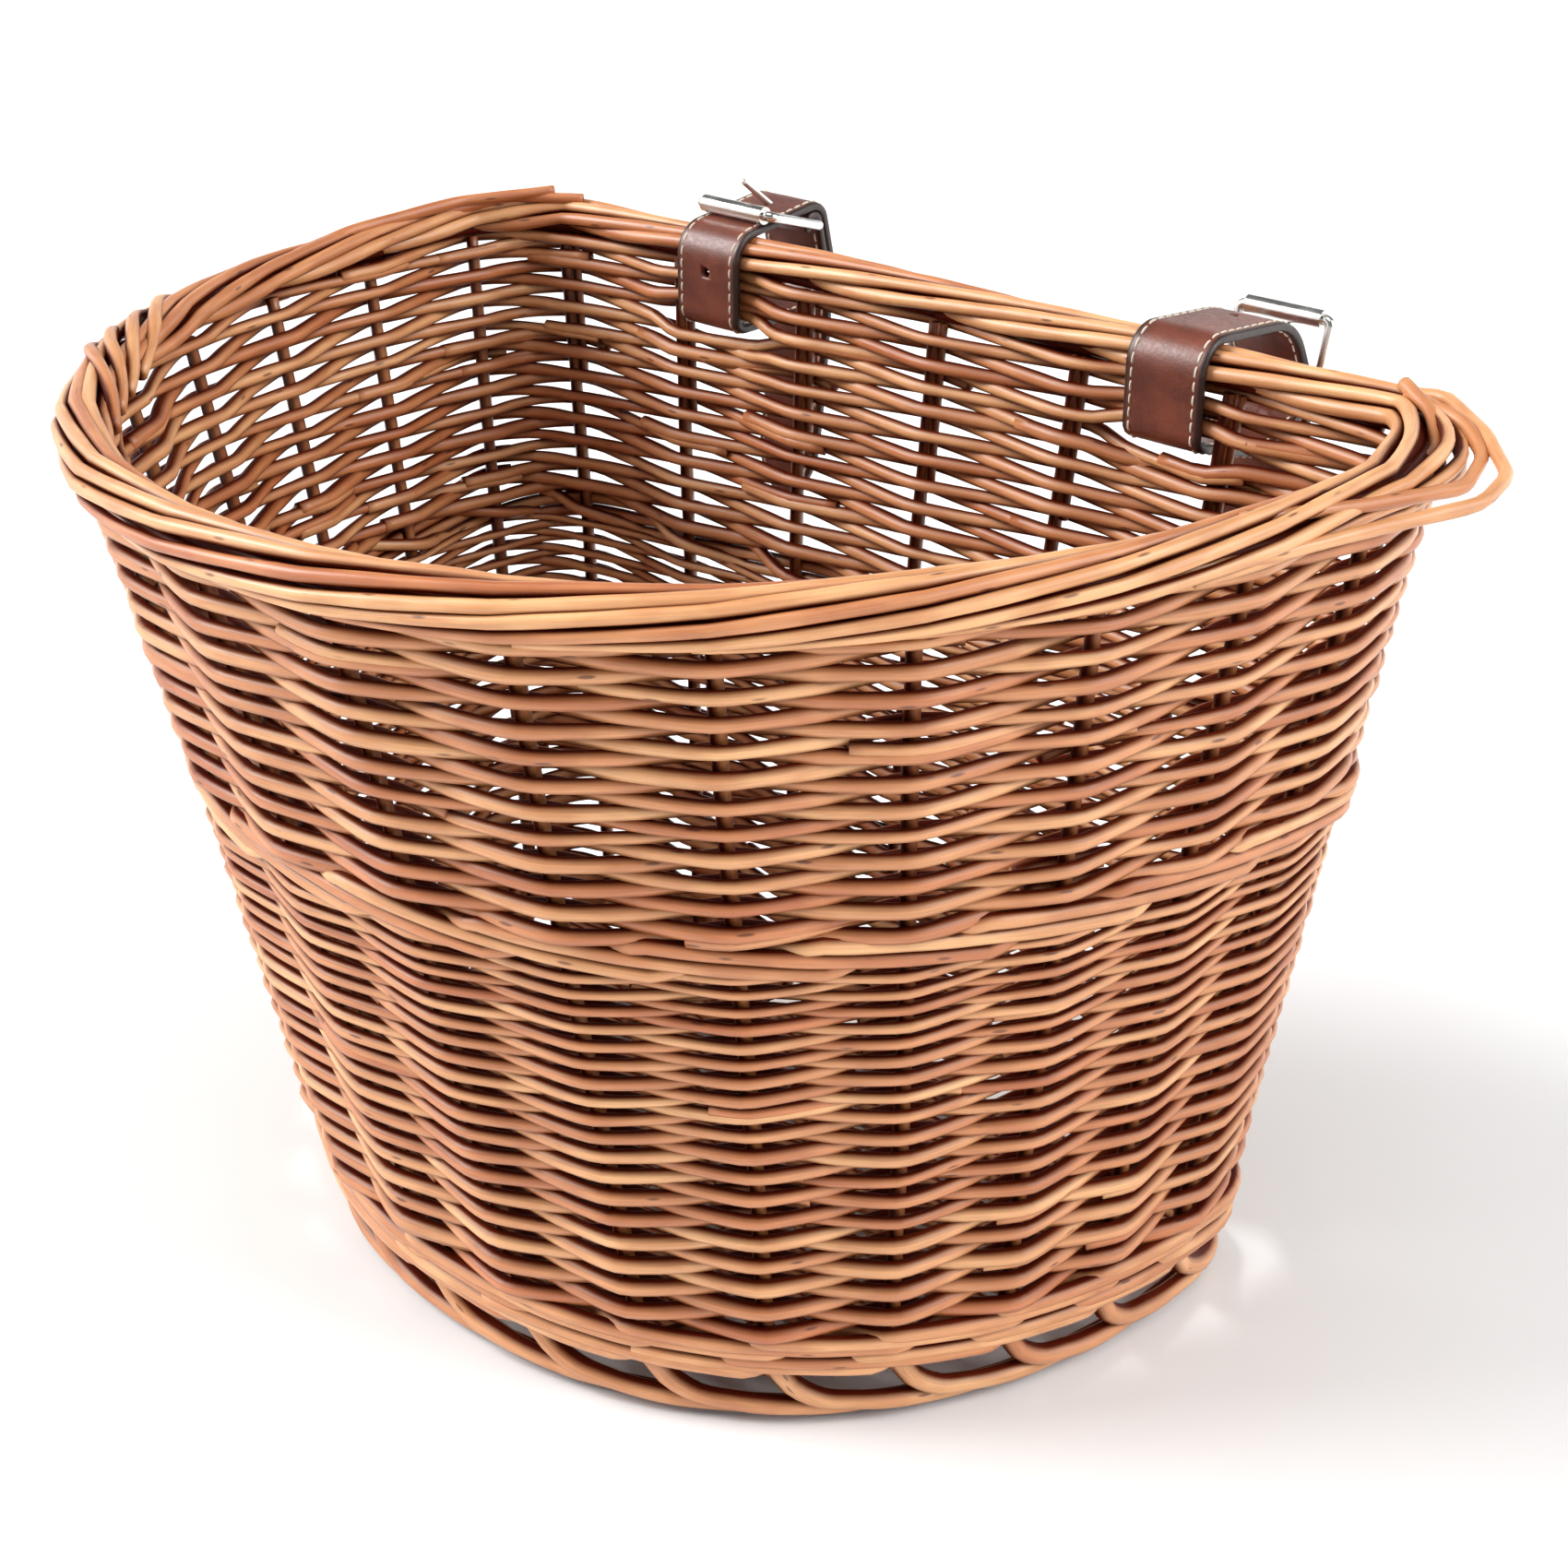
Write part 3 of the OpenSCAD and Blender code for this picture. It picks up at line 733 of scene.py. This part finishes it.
def nickel_material(name):
    """Nickel plate: bright, with fine scratches and dull patches."""
    made, nodes, links, skin = new_material(name)
    place = add_node(nodes, "ShaderNodeTexCoord").outputs["Object"]
    scratches = add_node(nodes, "ShaderNodeTexNoise", Scale=900.0, Detail=6.0, Roughness=0.7)
    patches = add_node(nodes, "ShaderNodeTexNoise", Scale=120.0, Detail=3.0)
    for texture in (scratches, patches):
        links.new(place, texture.inputs["Vector"])
    patch = patches.outputs["Fac"]
    rough = ramp(nodes, links, patch, (0.35, grey(0.13)), (0.7, grey(0.3)))
    links.new(rough, skin.inputs["Roughness"])
    colour = ramp(nodes, links, patch, (0.3, DULL_NICKEL), (0.65, BRIGHT_NICKEL))
    links.new(colour, skin.inputs["Base Color"])
    skin.inputs["Metallic"].default_value = 1.0
    bumps(nodes, links, skin, scratches.outputs["Fac"], 0.12, 0.1 * MM)
    return made


THREAD_SHADE = (0.50, 0.42, 0.32)
THREAD_PALE = (0.80, 0.74, 0.62)


def thread_material(name):
    """Waxed pale thread, with the twist of its strands."""
    made, nodes, links, skin = new_material(name)
    place = add_node(nodes, "ShaderNodeTexCoord").outputs["Object"]
    waves = add_node(nodes, "ShaderNodeTexWave", Scale=900.0, Distortion=1.5)
    links.new(place, waves.inputs["Vector"])
    twist = waves.outputs["Fac"]
    colour = ramp(nodes, links, twist, (0.1, THREAD_SHADE), (0.7, THREAD_PALE))
    links.new(colour, skin.inputs["Base Color"])
    bumps(nodes, links, skin, twist, 0.4, 0.1 * MM)
    skin.inputs["Roughness"].default_value = 0.7
    return made


willow = willow_material("willow", pale=(0.84, 0.45, 0.20), deep=(0.56, 0.185, 0.06))
willow_red = willow_material("willow_stakes", pale=(0.50, 0.19, 0.06), deep=(0.36, 0.12, 0.04))
leather = leather_material("leather", body=(0.20, 0.050, 0.026), dark=(0.10, 0.024, 0.014))
nickel = nickel_material("nickel")
thread = thread_material("thread")


# ---- Weave ----

def rows_between(low, high, count, growth):
    """Heights and half pitches of rows. The lowest is growth times as thick as the top one."""
    pitch = growth ** np.linspace(0, 1, count)
    edges = high - (high - low) * np.concatenate([[0], np.cumsum(pitch)]) / pitch.sum()
    return (edges[:-1] + edges[1:]) / 2, (edges[:-1] - edges[1:]) / 2


UNDER_ROLL = 5 * MM  # the top rows go up this far inside the rolled rim
UNDER_WALE = 2 * MM  # the rows beside the middle wale reach this far behind it
UPPER_ROWS = 24
LOWER_ROWS = 37
LOWER_GROWTH = 1.9  # the lowest row is this many times as thick as the top one of the lower band
ROD_FILL = 1.12  # a rod's thickness, as a share of its row's height
MID_ROD = 2.0 * MM
BOTTOM_ROD = 2.3 * MM
BOTTOM_HEIGHT = 8.5 * MM
BOTTOM_LEVELS = (0.27, 0.75)  # the two bottom wales, as shares of the height of their node
upper_low, upper_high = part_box("upper_wall_weave")
lower_low, lower_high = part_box("lower_wall_weave")
mid_low, mid_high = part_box("mid_wale")
bottom_low, bottom_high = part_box("bottom_wale")

heights, halves = rows_between(
    upper_low.z - UNDER_WALE, upper_high.z + UNDER_ROLL, UPPER_ROWS, 1.0)
weave_band("upper_weave_rods", "upper_wall_weave", willow, heights, halves * ROD_FILL, 1.1 * MM)
heights, halves = rows_between(lower_low.z, lower_high.z + UNDER_WALE, LOWER_ROWS, LOWER_GROWTH)
weave_band("lower_weave_rods", "lower_wall_weave", willow, heights, halves * ROD_FILL, 1.2 * MM)

mid_rods = Rods()
wale(mid_rods, (mid_low.z + mid_high.z) / 2, mid_high.z - mid_low.z + 1 * MM, MID_ROD, 1)
mid_rods.build("mid_wale_rods", willow, "mid_wale")
bottom_rods = Rods()
for level in BOTTOM_LEVELS:
    z = bottom_low.z + level * (bottom_high.z - bottom_low.z)
    wale(bottom_rods, z, BOTTOM_HEIGHT, BOTTOM_ROD, 5 + 10 * level)
bottom_rods.build("bottom_wale_rods", willow, "bottom_wale")

each_side = (SIDE_STAKES + 1) // 4
stake_rods("back_stake_rods", "back_stakes", willow_red, [*range(-BACK_EACH, BACK_EACH + 1)])
sides = [BACK_EACH + i for i in range(1, SIDE_STAKES + 1)]
stake_rods("right_stake_rods", "right_side_stakes", willow_red, sides[:each_side])
stake_rods("front_stake_rods", "front_stakes", willow_red, sides[each_side:-each_side])
stake_rods("left_stake_rods", "left_side_stakes", willow_red, sides[-each_side:])
rim_rods(willow)
foot_rods(willow)
base_rods(willow)


# ---- Straps ----
# A strap is worked out in the plane (y, z), as a belt that runs clockwise round circles.

PIN_R = 1.55 * MM  # hole in the leather eye round the buckle's heel bar
GAP = 0.1 * MM
EYE_R = PIN_R + STRAP_T / 2
OVER_EYE_R = PIN_R + STRAP_T * 1.5 + GAP
BELT_PITCH = 1.5 * MM
EDGE_ROUND = 0.36  # radius of the leather's edges, as a share of its thickness
CROWN = 0.12 * MM  # the middle of its faces stands this much proud
HOLE_R = 1.6 * MM
PRONG_SLOT = 3.6 * MM


def point(angle, r=1.0):
    """The point at an angle on a circle round the origin."""
    return np.array([math.cos(math.radians(angle)), math.sin(math.radians(angle))]) * r


def leaves(a, b):
    """The direction from both middles in which a line leaves circle a for circle b, clockwise."""
    v = b[0] - a[0]
    turn = math.acos((a[1] - b[1]) / np.linalg.norm(v))
    return math.degrees(math.atan2(v[1], v[0]) + turn)


def belt(path, start, end):
    """Points (y, z) along the leather's middle, from a turn before it leaves the first circle."""
    outs = [leaves(a, b) for a, b in zip(path, path[1:])]
    points = []
    for i, (middle, r) in enumerate(path):
        came = outs[0] + start if i == 0 else outs[i - 1]
        goes = outs[i] if i < len(path) - 1 else end
        sweep = start if i == 0 else (came - goes) % 360
        steps = max(1, math.ceil(sweep / 7))
        points += [middle + point(came - sweep * k / steps, r) for k in range(steps + 1)]
    return np.array(points)


def evenly(points, pitch):
    """The same line with evenly spaced points, and the length run at each of them."""
    run = run_along(points)
    at = np.linspace(0, run[-1], max(2, int(run[-1] / pitch)))
    return np.stack([np.interp(at, run, points[:, k]) for k in (0, 1)], axis=1), at


def normals(points):
    """Unit vectors to the outside of a belt that runs clockwise."""
    ahead = unit(np.gradient(points, axis=0))
    return np.stack([-ahead[:, 1], ahead[:, 0]], axis=1)


def strap_profile(width, thickness):
    """Outline of a strap's cut: (x, outwards, edge) with round edges and a slight crown."""
    round_r = thickness * EDGE_ROUND
    corner_x, corner_n = width / 2 - round_r, thickness / 2 - round_r
    shape = []
    for sx, sn, first in ((1, 1, 0), (-1, 1, 90), (-1, -1, 180), (1, -1, 270)):
        for k in range(4):
            turn = point(first + 30 * k, round_r)
            shape.append((sx * corner_x + turn[0], sn * corner_n + turn[1], 1.0))
        if sx == sn:
            for share in (0.86, 0.6, 0.2, -0.2, -0.6, -0.86):
                face = thickness / 2 + CROWN * (1 - share**2)
                shape.append((sx * share * width / 2, sn * face, 0.0))
    return np.array(shape)


def strap_mesh(name, x, points, width):
    """A strap along points (y, z), closed at both ends. Its width is a share for each point."""
    profile = strap_profile(STRAP_W, STRAP_T)
    m = len(profile)
    verts, edge = [], []
    for p, n, share in zip(points, normals(points), width):
        for across, out, is_edge in profile:
            verts.append((x + across * share, *(p + n * out)))
            edge.append(is_edge)
    faces = []
    for i in range(len(points) - 1):
        for j in range(m):
            k = (j + 1) % m
            faces.append((i * m + j, i * m + k, (i + 1) * m + k, (i + 1) * m + j))
    faces.append(tuple(range(m - 1, -1, -1)))
    faces.append(tuple((len(points) - 1) * m + j for j in range(m)))
    made = new_piece(name, verts, faces, leather)
    store(made, "edge", "FLOAT", "value", edge)
    return made


def cut(piece, *cutters):
    """Cuts the closed shapes out of a piece, for good, and removes them."""
    for cutter in cutters:
        modifier = piece.modifiers.new("cut", "BOOLEAN")
        modifier.object = cutter
        modifier.solver = "EXACT"
        modifier.use_self = True
    bpy.context.view_layer.update()
    done = piece.evaluated_get(bpy.context.evaluated_depsgraph_get())
    mesh = bpy.data.meshes.new_from_object(done)
    piece.modifiers.clear()
    piece.data = mesh
    for cutter in cutters:
        bpy.data.objects.remove(cutter)


def prism(x, width, outline):
    """A closed shape: an outline of (y, z) points made thick along X."""
    n = len(outline)
    verts = [(x + s * width / 2, *p) for s in (-1, 1) for p in outline]
    faces = [tuple(range(n)), tuple(range(2 * n - 1, n - 1, -1))]
    faces += [(i, i + n, (i + 1) % n + n, (i + 1) % n) for i in range(n)]
    return new_piece("cutter", verts, faces, leather)


def punch(place, direction, r, length):
    """A closed round bar for punching a hole."""
    d = Vector(direction).normalized()
    side = d.orthogonal().normalized()
    up = d.cross(side)
    n = 20
    verts = []
    for s in (-1, 1):
        for k in range(n):
            turn = point(360 * k / n, r)
            verts.append(Vector(place) + d * s * length / 2 + side * turn[0] + up * turn[1])
    faces = [tuple(range(n - 1, -1, -1)), tuple(range(n, 2 * n))]
    faces += [(i, (i + 1) % n, (i + 1) % n + n, i + n) for i in range(n)]
    return new_piece("cutter", verts, faces, leather)


THREAD_R = 0.32 * MM
STITCH_PITCH = 3.6 * MM
STITCH_LONG = 2.7 * MM
STITCH_IN = 2.3 * MM  # from the strap's edge
STITCH_PARTS = 7
STITCH_DEEP = 0.25 * MM  # a stitch's ends are this far inside the leather
STITCH_LIFT = 0.4 * MM  # and its middle is this far above them


def stitches(name, x, points, run, low, high, width):
    """Two rows of short stitches on each face, from low to high along the strap's run.

    Each is a thread that comes out of the leather and goes back in.
    """
    rods = Rods()
    out = normals(points)
    bow = np.sin(np.linspace(0, math.pi, STITCH_PARTS)) ** 0.5
    for face in (1, -1):
        off = face * (STRAP_T / 2 - STITCH_DEEP + STITCH_LIFT * bow)
        for side in (-1, 1):
            start = low
            while start + STITCH_LONG < high:
                at = np.linspace(start, start + STITCH_LONG, STITCH_PARTS)
                y, z = (
                    np.interp(at, run, points[:, k]) + np.interp(at, run, out[:, k]) * off
                    for k in (0, 1))
                across = side * np.interp(at, run, width) * (STRAP_W / 2 - STITCH_IN)
                rods.add(np.stack([x + across, y, z], axis=1), THREAD_R, sides=6, aim=X_AXIS)
                start += STITCH_PITCH
    made = new_piece(name, np.concatenate(rods.points), rods.faces, thread)
    return made


# Each belt's circles, as (middle, radius): from the buckle's eye round the bar to the slot, up
# round the rim and back to the buckle
RIM_GAP = 0.2 * MM
TURN_R = 3.5 * MM
rim_middle = np.array([rim_high.y - border_out + BORDER_SHIFT, BORDER_Z])
rim_roll = (rim_middle, BORDER_R + RIM_GAP + STRAP_T / 2)
inside_y = rim_middle[0] - rim_roll[1]
turn_z = left_bar[1] - LEFT_BAR_R - STRAP_T / 2 + GAP + TURN_R
slot_turn = (np.array([inside_y + TURN_R, turn_z]), TURN_R)
left_heel, right_heel = pivot_of("left_buckle_hinge"), pivot_of("right_buckle_hinge")
right_round = (right_bar, RIGHT_BAR_R + STRAP_T / 2 - GAP)
left_path = [
    (left_heel, EYE_R), (left_bar, LEFT_BAR_R + STRAP_T / 2 - GAP), slot_turn, rim_roll,
    (left_heel, OVER_EYE_R), (left_bar, LEFT_BAR_R + STRAP_T * 1.5 + GAP)]
right_path = [
    (right_heel, EYE_R), right_round, slot_turn, rim_roll, right_round, (right_heel, OVER_EYE_R)]


EYE_TURNS = 205  # degrees that the leather eye goes round the heel bar
PRONG_REACH = 15 * MM  # the room for the prong, from the middle of the heel bar
SEWN_FROM = 14 * MM
TAIL_BOW = 1.2 * MM
TIP_LONG = 18 * MM  # the rounded tip of the tail


def tail_points(side, path, end):
    """The free end, from the last circle of the belt down to its tip, with a slight outward bow."""
    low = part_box(side + "_strap_tail")[0]
    middle, r = path[-1]
    top = middle + point(end, r)
    down = point(end - 90)
    length = (top[1] - low.z) / -down[1]
    at = np.linspace(0, length, 60)
    bow = TAIL_BOW * np.sin(math.pi * at / length)
    return top + down * at[:, None] + point(end) * bow[:, None], at, length


def prong_room(x, heel, room):
    """Shapes to cut away round the heel bar: a fan between two angles, and a ring."""
    turns = np.linspace(*room, 5)
    fan = [heel] + [heel + point(turn, PRONG_REACH) for turn in turns]
    ring = [heel + point(360 * k / 24, PIN_R + 1.9 * MM) for k in range(24)]
    return [prism(x, PRONG_SLOT, fan), prism(x, PRONG_SLOT, ring)]


def build_belt(side, x, path, end, room, hole):
    """The buckled belt of one strap, with its stitching."""
    points, run = evenly(belt(path, EYE_TURNS, end), BELT_PITCH)
    width = np.ones(len(points))
    strap = strap_mesh(side + "_strap_leather", x, points, width)
    place, direction = hole
    cutters = prong_room(x, path[0][0], room)
    cut(strap, *cutters, punch((x, *place), (0, *direction), HOLE_R, 5 * MM))
    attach(strap, "basket")
    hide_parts(side + "_strap")
    name = side + "_strap_stitching"
    sewn = stitches(name, x, points, run, SEWN_FROM, run[-1] - 1 * MM, width)
    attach(sewn, "basket")


def build_tail(side, x, path, end, holes):
    """The free end of one strap, with its holes and stitching."""
    points, at, length = tail_points(side, path, end)
    to_tip = (length - at) / TIP_LONG
    width = np.where(to_tip < 1, np.sqrt(np.clip(1 - (1 - to_tip) ** 2, 0.0025, 1)), 1.0)
    tail = strap_mesh(side + "_tail_leather", x, points, width)
    down = point(end - 90)
    places = [points[0] + down * s for s in holes]
    cut(tail, *[punch((x, *p), (0, *point(end)), HOLE_R, 8 * MM) for p in places])
    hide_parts(side + "_strap_tail")
    sewn = stitches(side + "_tail_stitching", x, points, at, 1 * MM, length - 8 * MM, width)
    for piece in (tail, sewn):
        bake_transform(piece)


# Angles in the plane (y, z): where a tail leaves its belt, and the two ends of a prong's room
LEFT_TAIL_AT = -7
RIGHT_TAIL_AT = -22
LEFT_ROOM = (78, 172.4)
RIGHT_ROOM = (-26, 102)

# One punched hole in each belt, as (place, direction), and two in each tail, as distances along it
left_hole = ((inside_y, BORDER_Z - 3 * MM), (1, 0))
right_hole = ((right_bar[0] - 1 * MM, right_bar[1] + RIGHT_BAR_R + STRAP_T / 2), (0, 1))
LEFT_TAIL_HOLES = (16 * MM, 41 * MM)
RIGHT_TAIL_HOLES = (14 * MM, 39 * MM)

build_belt("left", strap_x[0], left_path, LEFT_TAIL_AT, LEFT_ROOM, left_hole)
build_tail("left", strap_x[0], left_path, LEFT_TAIL_AT, LEFT_TAIL_HOLES)
build_belt("right", strap_x[1], right_path, RIGHT_TAIL_AT, RIGHT_ROOM, right_hole)
build_tail("right", strap_x[1], right_path, RIGHT_TAIL_AT, RIGHT_TAIL_HOLES)

for side in ("left", "right"):
    for part in ("buckle_frame", "buckle_roller", "buckle_prong"):
        node = frame["nodes"][f"{side}_{part}"]
        node.data.materials.clear()
        node.data.materials.append(nickel)
        node.data.polygons.foreach_set("use_smooth", [True] * len(node.data.polygons))


# ---- Stage, light and camera ----

FLAT_R = 7.0  # the floor is flat this far out, then curves up with this radius to a wall this high
CURVE_R = 1.5
WALL_HIGH = 3.5
FLOOR_PARTS = 48


def floor():
    """A pale floor that curves up into a wall all round, far from the basket."""
    profile = [(FLAT_R * (k + 1) / 4, 0) for k in range(4)]
    profile += [
        (FLAT_R + CURVE_R * math.sin(turn), CURVE_R * (1 - math.cos(turn)))
        for turn in np.radians([15, 30, 45, 60, 75, 90])]
    profile.append((FLAT_R + CURVE_R, WALL_HIGH))
    verts = [(0, 0, 0)]
    for r, z in profile:
        verts += [(*point(360 * k / FLOOR_PARTS, r), z) for k in range(FLOOR_PARTS)]
    faces = [(0, 1 + k, 1 + (k + 1) % FLOOR_PARTS) for k in range(FLOOR_PARTS)]
    for i in range(len(profile) - 1):
        first = 1 + i * FLOOR_PARTS
        for k in range(FLOOR_PARTS):
            a, b = first + k, first + (k + 1) % FLOOR_PARTS
            faces.append((a, a + FLOOR_PARTS, b + FLOOR_PARTS, b))
    made, _, _, skin = new_material("floor")
    skin.inputs["Base Color"].default_value = (0.9, 0.9, 0.9, 1)
    skin.inputs["Roughness"].default_value = 0.7
    new_piece("floor", verts, faces, made)


def sun(name, place, strength, spread):
    """A soft light as from a far studio lamp in the direction of place."""
    data = bpy.data.lights.new(name, "SUN")
    data.energy = strength
    data.angle = math.radians(spread)
    made = bpy.data.objects.new(name, data)
    made.rotation_mode = "QUATERNION"
    made.rotation_quaternion = (-Vector(place)).to_track_quat("-Z", "Y")
    bpy.context.scene.collection.objects.link(made)


def sky(strength):
    """An even white light from all round."""
    world = bpy.data.worlds.new("studio")
    world.use_nodes = True
    background = world.node_tree.nodes["Background"]
    background.inputs["Color"].default_value = (1, 1, 1, 1)
    background.inputs["Strength"].default_value = strength
    bpy.context.scene.world = world


VIEW_TURN = 41.76  # degrees round to the right of the front, and above the level
VIEW_RISE = 26.48
VIEW_FAR = 740.6 * MM
VIEW_LENS = 58.9
VIEW_TARGET = Vector((-7.2, 45.3, 113.5)) * MM


def camera():
    """The view of the basket from its front right, a little above it."""
    data = bpy.data.cameras.new("camera")
    data.lens = VIEW_LENS
    data.clip_start = 0.01
    turn, rise = math.radians(VIEW_TURN), math.radians(VIEW_RISE)
    level = math.cos(rise)
    back = Vector((math.sin(turn) * level, -math.cos(turn) * level, math.sin(rise)))
    made = bpy.data.objects.new("camera", data)
    made.location = VIEW_TARGET + back * VIEW_FAR
    made.rotation_mode = "QUATERNION"
    made.rotation_quaternion = (-back).to_track_quat("-Z", "Y")
    bpy.context.scene.collection.objects.link(made)
    bpy.context.scene.camera = made


floor()
sun("key", (-1.0, -0.75, 0.85), 4.0, 34)
sun("side", (0.95, 0.40, 0.75), 2.15, 36)
sun("top", (0.1, -0.3, 1.6), 0.7, 40)
sky(0.2)
bpy.context.scene.view_settings.view_transform = "Standard"
camera()
